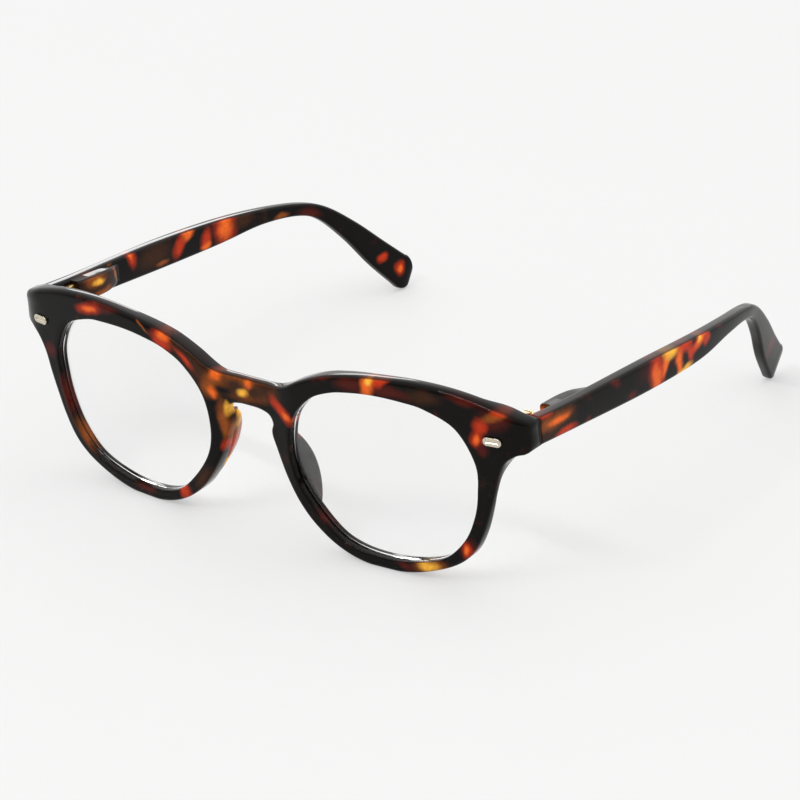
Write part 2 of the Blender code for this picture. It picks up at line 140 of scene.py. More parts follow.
# Lip of an end piece, where the temple meets it: y, bottom, top, inset of its edge
LIP_IN = 0.02
LIP_ROUND = 0.7
LIP = (
    (8.6, 33.1, 39.3, 0.0),
    (9.8, 33.0, 39.3, 0.0),
    (JOINT_Y - 0.12, 32.95, 39.2, 0.0),
    (JOINT_Y, 32.95, 39.2, 0.1),
)

# Ornament
PLATE_AT = (62.1, 35.2)
PLATE_LONG = 4.2
PLATE_HIGH = 1.9
PLATE_THICK = 0.55
PLATE_GROOVE = 0.2
PLATE_GROOVE_PAST = 0.3  # past the centre of each round end
PLATE_TILT = 0.02
PLATE_GAP = 0.06
PLATE_ROUND = 0.2
PLATE_POINTS = 64
PLATE_NUDGE = 1e-4  # keeps each point of the outline off the line between its round ends
PLATE_PINS = (-1.1, 1.1)
PLATE_PIN_Y = (-0.3, 2.0)
PLATE_PIN_R = 0.45
PLATE_PIN_POINTS = 32

# Outer outline of the left half: x, z, front rounding, direction of the lens edge facing it in degrees,
# and the width of the rounding along the rear edge.
OUTLINE = (
    (0.0, 29.7, 0.9, 152, 0.6),
    (2.8, 29.6, 0.9, 154.5, 0.6),
    (5.3, 28.9, 0.8, 158, 0.6),
    (6.3, 27.3, 0.7, 163, 0.6),
    (5.8, 25.6, 0.7, 169, 0.6),
    (5.9, 24.0, 0.7, 174, 0.6),
    (6.7, 21.8, 0.7, 181, 0.6),
    (7.8, 18.9, 0.7, 187, 0.6),
    (9.4, 15.4, 0.7, 194, 0.6),
    (12.2, 10.8, 0.7, 203, 0.6),
    (15.6, 6.7, 0.7, 215, 0.6),
    (20.5, 3.0, 0.7, 231, 0.6),
    (26.0, 0.7, 0.7, 247, 0.6),
    (32.0, -0.15, 0.7, 263, 0.6),
    (38.5, 0.2, 0.7, 278, 0.7),
    (44.8, 1.8, 0.7, 293, 0.9),
    (51.1, 4.6, 0.7, 309, 1.3),
    (55.3, 8.2, 0.7, 322, 1.3),
    (58.1, 13.2, 0.7, 338, 1.6),
    (60.1, 18.8, 0.7, 354, 2.0),
    (61.4, 23.0, 0.7, 364, 2.4),
    (62.5, 27.0, 0.8, 371, 1.9),
    (64.1, 30.3, 0.7, 376, 0.6),
    (66.4, 32.2, 0.55, 383, 0.4),
    (68.2, 32.7, 0.55, 387, 0.35),
    (69.1, 33.7, 0.65, 388.6, 0.35),
    (69.1, 36.6, 1.2, 390.4, 0.5),
    (69.1, 38.7, 1.0, 392, 0.6),
    (68.3, 39.8, 1.0, 393.8, 0.8),
    (66.2, 40.8, 1.3, 396, 1.2),
    (62.0, 42.3, 1.5, 400, 1.4),
    (56.0, 43.7, 1.4, 408, 1.6),
    (50.0, 44.4, 1.3, 417, 1.6),
    (43.0, 44.5, 1.3, 430, 1.5),
    (36.0, 44.0, 1.2, 446, 1.3),
    (28.0, 43.1, 1.2, 465, 1.0),
    (21.0, 41.6, 1.1, 482, 0.7),
    (15.0, 39.2, 1.0, 493, 0.6),
    (10.6, 36.9, 1.0, 500, 0.6),
    (7.5, 36.0, 1.0, 503.5, 0.6),
    (3.5, 36.0, 1.0, 506, 0.6),
    (0.0, 36.0, 1.0, 508, 0.6),
)
BRIDGE_END_ANGLE = 360 + OUTLINE[0][3]  # the first row's direction, a turn later

# Rows of the outline beside the nose, where a pad is bonded
NASAL_ROWS = slice(3, 13)
NASAL_STEPS = 8

# Edge of the lens opening, as x, z
OPENING = (
    (57.6, 22.5),
    (57.5, 29.2),
    (53.4, 36.1),
    (46.5, 39.1),
    (40.9, 39.8),
    (34.0, 39.9),
    (28.0, 39.3),
    (22.8, 38.2),
    (17.4, 35.6),
    (12.6, 30.2),
    (11.1, 23.5),
    (11.9, 17.2),
    (15.2, 11.6),
    (20.8, 5.8),
    (25.6, 3.4),
    (32.0, 2.5),
    (39.7, 3.0),
    (48.2, 5.6),
    (53.6, 10.8),
    (56.4, 16.6),
)

# Temple centre line, back from its front end: y, z, outer face x, height, thickness
TEMPLE = (
    (0.0, 36.1, 69.1, 6.3, 3.2),
    (12.0, 34.9, 69.3, 6.3, 3.2),
    (37.0, 32.8, 69.5, 6.9, 3.2),
    (57.0, 31.1, 68.9, 6.0, 3.2),
    (71.0, 30.2, 67.2, 3.9, 3.1),
    (82.0, 28.4, 64.8, 3.1, 3.0),
    (88.5, 25.3, 62.8, 3.6, 2.9),
    (95.3, 18.6, 60.2, 5.1, 2.8),
    (101.8, 10.6, 57.4, 7.0, 2.7),
    (109.8, 1.85, 54.5, 8.2, 2.6),
)
TEMPLE_STEPS = 9
TEMPLE_ROUND = 0.9
TEMPLE_ROUND_MOST = 0.6  # of half the thickness
TEMPLE_BEVEL = 0.1
TEMPLE_BEVEL_LONG = 0.12
TIP_STATIONS = 4
TIP_STEPS = 7
TIP_SKEW = 0.18
TIP_SHRINK = 2.8
TIP_LONG = 3.4
TIP_NARROW = 0.3

# The boss inside a temple: y, how far it stands in from the temple's inner face, half height
BOSS = (
    (18.3, 2.2, 2.45),
    (18.6, 2.35, 2.6),
    (21.0, 2.5, 2.6),
    (24.5, 2.6, 2.6),
    (28.0, 2.1, 2.6),
    (31.2, 1.1, 2.3),
    (33.6, -0.3, 2.3),
)
BOSS_STEPS = 5
BOSS_ROUND_STEPS = 6
BOSS_Z = 36.3
BOSS_FALL = 1.1
BOSS_FALL_LONG = 12.0
BOSS_SUNK = 1.2
BOSS_ROUND = 0.9

# Colours of the shell
DARK = (0.0028, 0.0019, 0.0015)
BROWN = (0.04, 0.013, 0.004)
MAROON = (0.07, 0.0065, 0.003)
RED = (0.5, 0.034, 0.006)
ORANGE = (0.86, 0.14, 0.015)
AMBER = (0.27, 0.066, 0.009)
YELLOW = (0.95, 0.47, 0.05)

# Patches in the shell: place along and up, half length, half height, turn in degrees, colour.
# The front's and the pads' are in x and z, a temple's in y and z.
FRONT_PATCHES = (
    (-40.5, 43.6, 6.0, 1.4, 10, MAROON),
    (-45.3, 42.0, 3.6, 1.3, 14, RED),
    (-45.0, 42.1, 2.0, 0.7, 14, ORANGE),
    (-28.4, 42.0, 2.4, 0.3, -32, AMBER),
    (-16.5, 38.3, 8.0, 2.2, -32, BROWN),
    (-22.8, 40.2, 3.0, 2.0, -28, RED),
    (-22.4, 41.1, 1.9, 0.9, -10, ORANGE),
    (-15.6, 36.7, 4.2, 0.8, -36, RED),
    (-12.6, 35.4, 3.0, 2.6, -45, BROWN),
    (-10.0, 32.4, 2.4, 2.6, -30, AMBER),
    (-9.4, 31.2, 1.1, 1.5, 0, ORANGE),
    (-6.9, 23.0, 1.5, 7.0, 8, AMBER),
    (-6.2, 27.8, 0.9, 1.8, 0, YELLOW),
    (-7.6, 18.4, 1.2, 2.0, 0, RED),
    (-1.5, 34.3, 8.6, 3.2, 0, AMBER),
    (-8.2, 35.2, 1.6, 1.3, 20, ORANGE),
    (-3.6, 33.6, 3.2, 2.2, 0, BROWN),
    (2.4, 33.4, 2.2, 1.6, 0, BROWN),
    (-6.6, 32.0, 2.3, 1.1, 5, DARK),
    (-1.2, 32.7, 1.9, 0.8, 8, YELLOW),
    (0.8, 35.0, 1.4, 1.1, 0, ORANGE),
    (5.6, 34.6, 4.2, 2.0, -8, BROWN),
    (9.6, 31.2, 3.8, 1.5, -42, RED),
    (10.9, 30.2, 1.2, 0.8, -30, ORANGE),
    (-20.6, 4.8, 1.7, 2.2, 0, RED),
    (-51.2, 9.6, 4.2, 1.6, -46, AMBER),
    (-50.8, 9.2, 2.2, 0.8, -46, ORANGE),
    (-45.6, 5.8, 3.4, 1.0, -28, MAROON),
    (-33.0, 2.4, 3.2, 1.2, 0, MAROON),
    (-14.6, 9.4, 4.2, 1.6, 50, BROWN),
    (-60.4, 28.2, 1.8, 2.0, 0, MAROON),
    (-56.6, 18.0, 1.4, 4.6, 12, MAROON),
    (28.6, 41.4, 3.8, 1.5, 6, MAROON),
    (38.2, 41.6, 5.4, 1.3, 0, MAROON),
    (33.8, 44.2, 4.0, 1.0, 0, AMBER),
    (36.2, 43.4, 2.4, 1.2, 30, RED),
    (33.2, 42.0, 1.6, 2.7, -14, ORANGE),
    (33.6, 43.0, 0.8, 1.2, -20, YELLOW),
    (22.0, 42.0, 3.6, 0.8, 22, MAROON),
    (46.5, 42.0, 4.2, 1.6, 0, BROWN),
    (56.0, 43.0, 4.0, 1.3, -6, MAROON),
    (62.2, 39.8, 3.6, 2.6, 22, MAROON),
    (62.4, 40.6, 3.0, 1.1, 24, AMBER),
    (63.6, 41.7, 1.6, 1.0, 10, RED),
    (59.4, 37.9, 1.9, 1.6, 40, RED),
    (58.5, 35.1, 1.6, 1.8, 0, RED),
    (58.4, 35.0, 0.8, 1.1, 0, ORANGE),
    (59.6, 33.0, 1.2, 1.4, 0, MAROON),
    (13.4, 17.6, 0.5, 4.6, 22, AMBER),
    (12.9, 19.0, 0.3, 1.8, 20, ORANGE),
    (18.8, 8.8, 3.4, 0.9, -48, MAROON),
    (44.8, 3.2, 4.0, 1.8, 12, AMBER),
    (44.6, 3.1, 2.4, 1.3, 10, YELLOW),
    (38.8, 2.1, 2.0, 0.9, 0, MAROON),
    (54.6, 9.2, 2.3, 2.8, 10, MAROON),
    (54.2, 8.9, 1.2, 2.0, 10, RED),
    (54.1, 8.9, 0.6, 1.2, 10, ORANGE),
)
LEFT_PATCHES = (
    (16.0, 35.8, 6.6, 3.0, 0, BROWN),
    (15.8, 36.6, 5.4, 1.6, 0, AMBER),
    (17.0, 36.4, 3.2, 0.8, 0, ORANGE),
    (19.2, 33.0, 3.6, 0.8, 0, RED),
    (13.0, 39.3, 2.6, 1.2, 0, RED),
    (36.6, 36.6, 2.0, 1.2, -30, MAROON),
    (42.0, 31.4, 1.6, 0.9, 0, MAROON),
    (26.6, 32.4, 1.3, 0.7, 0, MAROON),
    (56.0, 34.4, 9.6, 3.2, 0, MAROON),
    (51.6, 32.8, 2.7, 4.2, 6, RED),
    (51.2, 31.6, 1.5, 2.8, 6, ORANGE),
    (54.6, 33.0, 1.3, 2.8, -26, ORANGE),
    (57.0, 34.8, 2.7, 1.5, 0, YELLOW),
    (56.4, 30.6, 1.8, 2.2, -20, DARK),
    (62.2, 34.2, 3.2, 1.4, 0, RED),
    (60.0, 31.6, 1.3, 3.0, 0, ORANGE),
    (62.0, 29.0, 2.8, 0.9, 0, YELLOW),
    (64.4, 31.8, 1.2, 2.4, 0, RED),
    (66.4, 32.2, 2.4, 1.1, 10, RED),
    (68.8, 33.2, 2.3, 1.3, 28, ORANGE),
    (68.3, 33.2, 1.0, 0.6, 28, YELLOW),
    (71.2, 32.4, 1.6, 1.5, 0, RED),
    (78.0, 33.3, 2.0, 0.9, 0, MAROON),
    (113.0, 11.0, 2.0, 3.0, -40, MAROON),
)
RIGHT_PATCHES = (
    (24.0, 35.8, 6.0, 3.6, 0, BROWN),
    (23.4, 37.0, 3.2, 1.7, -8, AMBER),
    (24.4, 36.2, 1.8, 0.7, -8, YELLOW),
    (25.4, 33.2, 3.2, 0.9, 0, AMBER),
    (31.4, 35.4, 0.8, 2.2, 8, AMBER),
    (38.2, 36.2, 1.5, 2.9, 16, RED),
    (38.0, 36.8, 0.7, 1.4, 16, ORANGE),
    (46.0, 33.4, 6.0, 2.8, 0, BROWN),
    (48.4, 30.8, 2.0, 0.7, 0, AMBER),
    (56.0, 37.0, 3.0, 1.1, 0, MAROON),
    (57.6, 34.9, 2.4, 1.6, 24, ORANGE),
    (54.2, 32.6, 1.7, 2.7, -36, RED),
    (63.4, 31.2, 1.6, 2.7, -20, RED),
    (63.0, 29.6, 1.8, 0.9, 0, ORANGE),
    (70.0, 32.0, 3.6, 4.2, 0, RED),
    (69.9, 31.8, 2.3, 3.0, -12, ORANGE),
    (75.4, 31.8, 3.4, 1.8, 0, BROWN),
    (87.2, 28.8, 2.0, 0.8, 0, AMBER),
    (95.0, 27.0, 3.4, 1.6, -20, MAROON),
    (113.6, 17.6, 2.2, 0.6, -35, AMBER),
    (113.0, 10.0, 1.5, 1.1, 0, RED),
    (117.6, 5.8, 1.6, 1.8, 0, RED),
    (117.6, 5.6, 0.8, 0.9, 0, ORANGE),
    (119.6, 11.8, 2.0, 1.0, -35, MAROON),
)
RIGHT_PAD_PATCHES = (
    (-8.0, 20.0, 5.0, 9.0, 0, AMBER),
    (-7.0, 24.6, 1.2, 2.6, -14, YELLOW),
    (-9.4, 17.0, 1.2, 3.4, -20, RED),
    (-12.0, 12.4, 2.2, 1.6, 0, YELLOW),
)
LEFT_PAD_PATCHES = (
    (9.0, 24.6, 1.6, 2.0, 0, RED),
    (12.4, 12.0, 2.0, 2.6, 0, MAROON),
)

# How far a patch's edge wavers, in millimetres, and how far out it is still full and ends, as shares
# of its half sizes. Painted shade: a patch shows on faces turned to the side, hardly on those turned
# up.
WAVER_ALONG = 2.0
WAVER_UP = 1.5
PATCH_FULL = 0.25
PATCH_END = 1.45
FACING_SIDE = 0.6
FACING_UP = 0.85
PATCH_UNDER_TOP_SHADE = 0.12

# The other materials. A metal's row is its light and dark colour, its roughness, and how many tool
# marks there are to a millimetre.
LENS_CLEAR = (0.97, 0.975, 0.965)
LENS_COATED = (0.95, 0.96, 0.955)
SILVER = ((0.72, 0.66, 0.53), (0.5, 0.45, 0.35), 0.22, 2.0)
BRASS = ((0.78, 0.53, 0.2), (0.55, 0.36, 0.12), 0.25, 2.0)
STEEL = ((0.72, 0.62, 0.45), (0.5, 0.42, 0.3), 0.25, 4.0)
METAL_UNEVEN = 0.3
GRAIN_LONG = 0.3
GRAIN_CLOSE = 3.0
FLOOR_COLOUR = (0.3, 0.3, 0.299)
FLOOR_LIGHTER = 1.004
FLOOR_GLOW_COLOUR = (1.0, 1.0, 0.997)
FLOOR_GLOW = 0.455

# Camera, in millimetres, and light, in metres
CAMERA_AT = (431.49, -461.6, 327.34)
CAMERA_RIGHT = (0.78495, 0.615, -0.07507)
CAMERA_UP = (-0.21123, 0.37955, 0.90074)
CAMERA_BACK = (0.58245, -0.69117, 0.42783)
CAMERA_LENS = 149.75
SENSOR = 36.0
FLOOR_HALF = 4.0
FLOOR_CUTS = 8
FLOOR_DROP = 0.02 * MM
SKY_TOWARDS = (-0.1, 0.6, 0.79)
SKY_FROM = -0.4
SKY_LOW = 0.3
SKY_HIGH = 1.9

# Strips of light: place, what it faces, size and watts
STRIPS = {
    "brow_strip": ((-0.22, -1.25, 1.77), (0.06, -0.05, 0.04), (1.1, 0.04), 12.0),
    "back_strip": ((-1.5, 1.5, 0.62), (-0.05, -0.05, 0.04), (0.5, 0.3), 3.0),
}


def smooth_step(low, high, value):
    t = min(1.0, max(0.0, (value - low) / (high - low)))
    return t * t * (3.0 - 2.0 * t)


def spline(knots, steps, closed=False):
    """Catmull-Rom curve through rows of numbers, with this many samples between neighbours."""
    count = len(knots)
    rows = []
    for i in range(count if closed else count - 1):
        if closed:
            near = [knots[(i + k) % count] for k in (-1, 0, 1, 2)]
        else:
            near = [knots[min(count - 1, max(0, i + k))] for k in (-1, 0, 1, 2)]
        for s in range(steps):
            t = s / steps
            row = []
            for a, b, c, d in zip(*near):
                square = 2.0 * a - 5.0 * b + 4.0 * c - d
                cubic = 3.0 * (b - c) + d - a
                row.append(b + 0.5 * t * (c - a + t * (square + t * cubic)))
            rows.append(tuple(row))
    if not closed:
        rows.append(tuple(knots[-1]))
    return rows


def quarter(steps):
    """Angles from nothing to a right angle."""
    return [0.5 * math.pi * k / steps for k in range(steps + 1)]


def turns(count):
    """Angles once round, without the last."""
    return [2.0 * math.pi * k / count for k in range(count)]


# Meshes


def mesh_object(name, points, faces):
    mesh = bpy.data.meshes.new(name)
    mesh.from_pydata([Vector((x, y - FRONT_TO_ORIGIN, z)) * MM for x, y, z in points], [], faces)
    bm = bmesh.new()
    bm.from_mesh(mesh)
    bmesh.ops.recalc_face_normals(bm, faces=bm.faces)
    bm.to_mesh(mesh)
    bm.free()
    obj = bpy.data.objects.new(name, mesh)
    bpy.context.scene.collection.objects.link(obj)
    return obj


def loft(name, rings, side=1):
    """A closed body through rings of the same number of points, with flat ends."""
    points = [(x * side, y, z) for ring in rings for x, y, z in ring]
    size = len(rings[0])
    faces = [tuple(range(size)), tuple(range(len(points) - size, len(points)))[::-1]]
    for k in range(len(rings) - 1):
        for i in range(size):
            j = (i + 1) % size
            faces.append((k * size + i, k * size + j, (k + 1) * size + j, (k + 1) * size + i))
    return mesh_object(name, points, faces)


def plain_box(name, low, high, side, edge=0.0):
    """A box, with its edges cut off by this much."""
    levels = ((low[2], edge), (low[2] + edge, 0.0), (high[2] - edge, 0.0), (high[2], edge))
    if edge == 0.0:
        levels = (levels[0], levels[-1])
    cut = max(edge, LEAST_EDGE)
    rings = []
    for z, inset in levels:
        x0, x1 = low[0] + inset, high[0] - inset
        y0, y1 = low[1] + inset, high[1] - inset
        ring = [(x0 + cut, y0), (x1 - cut, y0), (x1, y0 + cut), (x1, y1 - cut)]
        ring += [(x1 - cut, y1), (x0 + cut, y1), (x0, y1 - cut), (x0, y0 + cut)]
        rings.append([(x, y, z) for x, y in ring])
    return loft(name, rings, side)


def turned(name, centre, profile, side, count=64):
    """A body of revolution about an upright axis, from rows of radius and height."""
    x, y = centre
    rings = []
    for radius, z in profile:
        rings.append([(x + radius * math.cos(a), y + radius * math.sin(a), z) for a in turns(count)])
    return loft(name, rings, side)


def combine(target, others, operation):
    """Joins or cuts the other objects, then removes them."""
    for other in others:
        change = target.modifiers.new(operation.lower(), "BOOLEAN")
        change.operation = operation
        change.solver = "EXACT"
        change.object = other
        graph = bpy.context.evaluated_depsgraph_get()
        changed = bpy.data.meshes.new_from_object(target.evaluated_get(graph))
        target.modifiers.clear()
        target.data = changed
        bpy.data.objects.remove(other)


def finish_piece(obj, finish, body, node, sharp=34.0):
    """Smooth shading but for edges over this many degrees, material, its body, and hiding the CAD part
    it replaces.
    """
    obj.data.shade_smooth()
    obj.data.set_sharp_from_angle(angle=math.radians(sharp))
    obj.data.materials.clear()
    obj.data.materials.append(finish)
    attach(obj, body)
    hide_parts(node)
    return obj


# Front


def face_y(x, _z):
    """How far back the front face lies. It is the same at every height, but is called as back_y is."""
    recess = BRIDGE_RECESS * (1.0 - smooth_step(*BRIDGE_RECESS_X, abs(x)))
    wrap = END_WRAP * max(0.0, abs(x) - END_WRAP_X) ** 2
    return FACE_CURVE * x * x / 2.0 + recess + wrap


def back_y(x, z):
    """How far back the rear face lies: thinner at the bridge, thicker at the end pieces."""
    thick = RIM_THICK - BRIDGE_THINNER * (1.0 - smooth_step(*BRIDGE_THINNER_X, abs(x)))
    end = smooth_step(*END_THICK_X, abs(x)) * smooth_step(*END_THICK_Z, z)
    thick += (END_THICK - RIM_THICK) * end
    return FACE_CURVE * x * x / 2.0 + thick


def direction_normals(points, closed):
    """Unit normals to the left of the way the points run."""
    count = len(points)
    normals = []
    for i in range(count):
        before = points[(i - 1) % count] if closed else points[max(0, i - 1)]
        after = points[(i + 1) % count] if closed else points[min(count - 1, i + 1)]
        along = Vector((after[0] - before[0], after[1] - before[1])).normalized()
        normals.append((-along.y, along.x))
    return normals


OPENING_EDGE = spline(OPENING, OPENING_STEPS, closed=True)
OPENING_NORMALS = direction_normals(OPENING_EDGE, closed=True)


def opening_at(angle):
    """The lens opening's edge in this direction from the lens centre, and its outward normal."""
    bearing = math.radians(angle)
    look = (math.cos(bearing), math.sin(bearing))
    count = len(OPENING_EDGE)
    for i in range(count):
        a, b = OPENING_EDGE[i], OPENING_EDGE[(i + 1) % count]
        ax, az = a[0] - LENS_CENTRE[0], a[1] - LENS_CENTRE[1]
        bx, bz = b[0] - LENS_CENTRE[0], b[1] - LENS_CENTRE[1]
        from_a = look[0] * az - look[1] * ax
        from_b = look[0] * bz - look[1] * bx
        if from_a * from_b <= 0.0 and look[0] * ax + look[1] * az > 0.0:
            t = from_a / (from_a - from_b) if from_a != from_b else 0.0
            n, m = OPENING_NORMALS[i], OPENING_NORMALS[(i + 1) % count]
            normal = Vector((-n[0] - t * (m[0] - n[0]), -n[1] - t * (m[1] - n[1]))).normalized()
            return (a[0] + t * (b[0] - a[0]), a[1] + t * (b[1] - a[1])), (normal.x, normal.y)
    raise ValueError(angle)


def edge_points(spot, inward, profile, surface):
    points = []
    for inset, drop in profile:
        x = max(0.0, spot[0] + inward[0] * inset)
        z = spot[1] + inward[1] * inset
        points.append((x, surface(x, z) + drop, z))
    return points


def front_profile(radius):
    angles = quarter(FRONT_ROUND_STEPS)
    return [(radius * (1.0 - math.cos(a)), radius * (1.0 - math.sin(a))) for a in angles]


def rear_profile(width):
    deep = REAR_DEEP * width - REAR_DEEP_LESS
    power = 2.0 / REAR_POWER
    rows = []
    for a in quarter(REAR_ROUND_STEPS):
        rows.append((width * (1.0 - math.cos(a) ** power), -deep * (1.0 - math.sin(a) ** power)))
    return rows


def lens_side(angle):
    """Points through the opening from front to rear, over the groove that holds the lens."""
    edge, out = opening_at(angle)
    face = face_y(*edge)
    rear = back_y(*edge)
    r = INNER_ROUND
    angles = quarter(SMALL_ROUND_STEPS)
    profile = [(r * (1.0 - math.sin(a)), face + r * (1.0 - math.cos(a))) for a in angles]
    profile.append((0.0, face + GROOVE_AT - GROOVE_HALF))
    profile.append((GROOVE_DEPTH, face + GROOVE_AT))
    profile.append((0.0, face + GROOVE_AT + GROOVE_HALF))
    profile += [(r * (1.0 - math.cos(a)), rear - r * (1.0 - math.sin(a))) for a in angles]
    return [(edge[0] + out[0] * inset, y, edge[1] + out[1] * inset) for inset, y in profile]


def across(a, b, share, surface):
    x = a[0] + share * (b[0] - a[0])
    z = a[2] + share * (b[2] - a[2])
    return (x, surface(x, z), z)


def strip(face, inner, back):
    """Points from a face point in to the opening, through it, and out to a rear point."""
    shares = [k / FLAT_STEPS for k in range(1, FLAT_STEPS)]
    points = [face] + [across(face, inner[0], t, face_y) for t in shares]
    return points + inner + [across(inner[-1], back, t, back_y) for t in shares] + [back]


def front_columns():
    """Rows of points round the left half's section, then those across the middle of the bridge."""
    outer = spline(OUTLINE, OUTLINE_STEPS)
    spots = [(row[0], max(0.0, row[1])) for row in outer]
    inward = direction_normals(spots, closed=False)
    inward[0] = (0.0, 1.0)
    inward[-1] = (0.0, -1.0)
    columns = []
    for row, spot, way in zip(outer, spots, inward):
        front = edge_points(spot, way, front_profile(row[2]), face_y)
        rear = edge_points(spot, way, rear_profile(row[4]), back_y)
        middle = strip(front[-1], lens_side(row[3]), rear[-1])
        columns.append(front[:-1] + middle + rear[-2::-1])
    first, last = FRONT_ROUND_STEPS, -1 - REAR_ROUND_STEPS
    high, low = columns[-1], columns[0]
    for k in range(1, BRIDGE_STEPS):
        t = k / BRIDGE_STEPS
        z_face = high[first][2] + t * (low[first][2] - high[first][2])
        z_back = high[last][2] + t * (low[last][2] - high[last][2])
        face = (0.0, face_y(0.0, z_face), z_face)
        back = (0.0, back_y(0.0, z_back), z_back)
        angle = outer[-1][3] + t * (BRIDGE_END_ANGLE - outer[-1][3])
        columns.append(strip(face, lens_side(angle), back))
    return columns


def front_shell():
    """The whole front as one mesh: the left half and its mirror image, sharing the points at x = 0."""
    columns = front_columns()
    edged = len(columns) - BRIDGE_STEPS + 1
    size = len(columns[0])
    flats = slice(FRONT_ROUND_STEPS, size - REAR_ROUND_STEPS)
    points, faces, shared = [], [], {}
    for side in (1, -1):
        numbers = []
        for column in columns:
            row = []
            for x, y, z in column:
                if x >= 10.0**-NEAR_DIGITS:
                    row.append(len(points))
                    points.append((side * x, y, z))
                    continue
                key = (round(y, NEAR_DIGITS), round(z, NEAR_DIGITS))
                if key not in shared:
                    shared[key] = len(points)
                    points.append((0.0, y, z))
                row.append(shared[key])
            numbers.append(row)
        for here, there in zip(numbers[: edged - 1], numbers[1:edged]):
            for k in range(size):
                j = (k + 1) % size
                faces.append((here[k], there[k], there[j], here[j]))
        strips = [numbers[edged - 1][flats], *numbers[edged:], numbers[0][flats]]
        for here, there in zip(strips, strips[1:]):
            for k in range(len(strips[0]) - 1):
                faces.append((here[k], there[k], there[k + 1], here[k + 1]))
    return points, faces


def rounded_section(half_wide, half_high, radius, steps=6):
    points = []
    for number, (w, h) in enumerate(((1, 1), (-1, 1), (-1, -1), (1, -1))):
        for k in range(steps + 1):
            turn = math.radians(90.0 * (number + k / steps))
            x = w * (half_wide - radius) + radius * math.cos(turn)
            points.append((x, h * (half_high - radius) + radius * math.sin(turn)))
    return points


def end_lip(side):
    rings = []
    x = SIDE_X - LIP_IN - TEMPLE_THICK / 2.0
    for y, low, high, inset in LIP:
        middle, half = (low + high) / 2.0, (high - low) / 2.0 - inset
        section = rounded_section(TEMPLE_THICK / 2.0 - inset, half, LIP_ROUND)
        rings.append([(x + w, y, middle + h) for w, h in section])
    return loft("end_lip", rings, side)


def make_front(finish):
    front = mesh_object("rim_front", *front_shell())
    combine(front, [end_lip(side) for side, _ in SIDES], "UNION")
    g = POCKET_GAP
    low = (FRONT_LEAF_X[0] - g, FRONT_LEAF_Y[0] - g, BARREL_LOW - g)
    high = (FRONT_LEAF_X[1] + g, FRONT_POCKET_BACK, BARREL_TOP + g)
    combine(front, [plain_box("pocket", low, high, side) for side, _ in SIDES], "DIFFERENCE")
    return finish_piece(front, finish, "front", "front_frame")


def plate_place():
    """Where a plate sits: on the face of the left end piece, turned with it."""
    x, z = PLATE_AT
    place = Matrix.Translation((x, face_y(x, z), z))
    return place @ Matrix.Rotation(math.atan(FACE_CURVE * x + PLATE_TILT), 4, "Z")


def plate_body(place, name, side):
    half = (PLATE_LONG - PLATE_HIGH) / 2.0
    r = PLATE_ROUND
    rows = [(-PLATE_GAP, 0.0), (r - PLATE_THICK, 0.0)]
    for a in quarter(SMALL_ROUND_STEPS)[1:]:
        rows.append((r - PLATE_THICK - r * math.sin(a), r * (1.0 - math.cos(a))))
    rings = []
    for y, inset in rows:
        radius = PLATE_HIGH / 2.0 - inset
        ring = []
        for a in turns(PLATE_POINTS):
            across, up = math.cos(a + PLATE_NUDGE), math.sin(a + PLATE_NUDGE)
            spot = Vector((math.copysign(half, across) + radius * across, y, radius * up))
            ring.append(tuple(place @ spot))
        rings.append(ring)
    return loft(name, rings, side)


def plate_groove(place, side):
    reach = (PLATE_LONG - PLATE_HIGH) / 2.0 + PLATE_GROOVE_PAST
    g = PLATE_GROOVE
    section = ((0.0, g - PLATE_THICK), (-g, -PLATE_THICK), (-g, -CUT_BEYOND))
    section += ((g, -CUT_BEYOND), (g, -PLATE_THICK))
    rings = [[tuple(place @ Vector((x, y, h))) for h, y in section] for x in (-reach, reach)]
    return loft("groove", rings, side)


def plate_pin(place, x, side):
    rings = []
    for y in PLATE_PIN_Y:
        spots = []
        for a in turns(PLATE_PIN_POINTS):
            spots.append(Vector((x + PLATE_PIN_R * math.cos(a), y, PLATE_PIN_R * math.sin(a))))
        rings.append([tuple(place @ spot) for spot in spots])
    return loft("pin", rings, side)


def make_plate(word, finish, side):
    """A bevelled oblong plate with a shallow groove along it, on two pins."""
    place = plate_place()
    plate = plate_body(place, "ornament_" + word, side)
    combine(plate, [plate_groove(place, side)], "DIFFERENCE")
    combine(plate, [plate_pin(place, x, side) for x in PLATE_PINS], "UNION")
    return finish_piece(plate, finish, "front", "rivet_plate_" + word, sharp=25.0)


def make_lens(word, finish, side):
    """A reading lens, bulging to the front, with a V edge that stands in the rim's groove."""
    edge = [opening_at(360.0 * k / LENS_POINTS) for k in range(LENS_POINTS)]

    def ring(share, grow, depth, bulge):
        points = []
        for (x, z), out in edge:
            px = LENS_CENTRE[0] + share * (x - LENS_CENTRE[0]) + out[0] * grow
            pz = LENS_CENTRE[1] + share * (z - LENS_CENTRE[1]) + out[1] * grow
            y = FACE_CURVE * px * px / 2.0 + GROOVE_AT + depth - bulge * (1.0 - share * share)
            points.append((px, y, pz))
        return points

    shares = [LENS_MIDDLE] + [k / LENS_RINGS for k in range(1, LENS_RINGS + 1)]
    rings = [ring(s, -LENS_EDGE_GAP, -LENS_EDGE_HALF, LENS_FRONT_BULGE) for s in shares]
    rings.append(ring(1.0, LENS_EDGE_OUT, 0.0, 0.0))
    rings += [ring(s, -LENS_EDGE_GAP, LENS_EDGE_HALF, LENS_BACK_BULGE) for s in shares[::-1]]
    lens = loft("reading_lens_" + word, rings, side)
    lens.visible_shadow = False
    return finish_piece(lens, finish, "front", "lens_" + word)


def outline_x(outline, z):
    """Where an outline crosses this height."""
    for a, b in zip(outline, outline[1:]):
        if (a[1] - z) * (b[1] - z) <= 0.0:
            return a[0] + (z - a[1]) / (b[1] - a[1]) * (b[0] - a[0])
    raise ValueError(z)


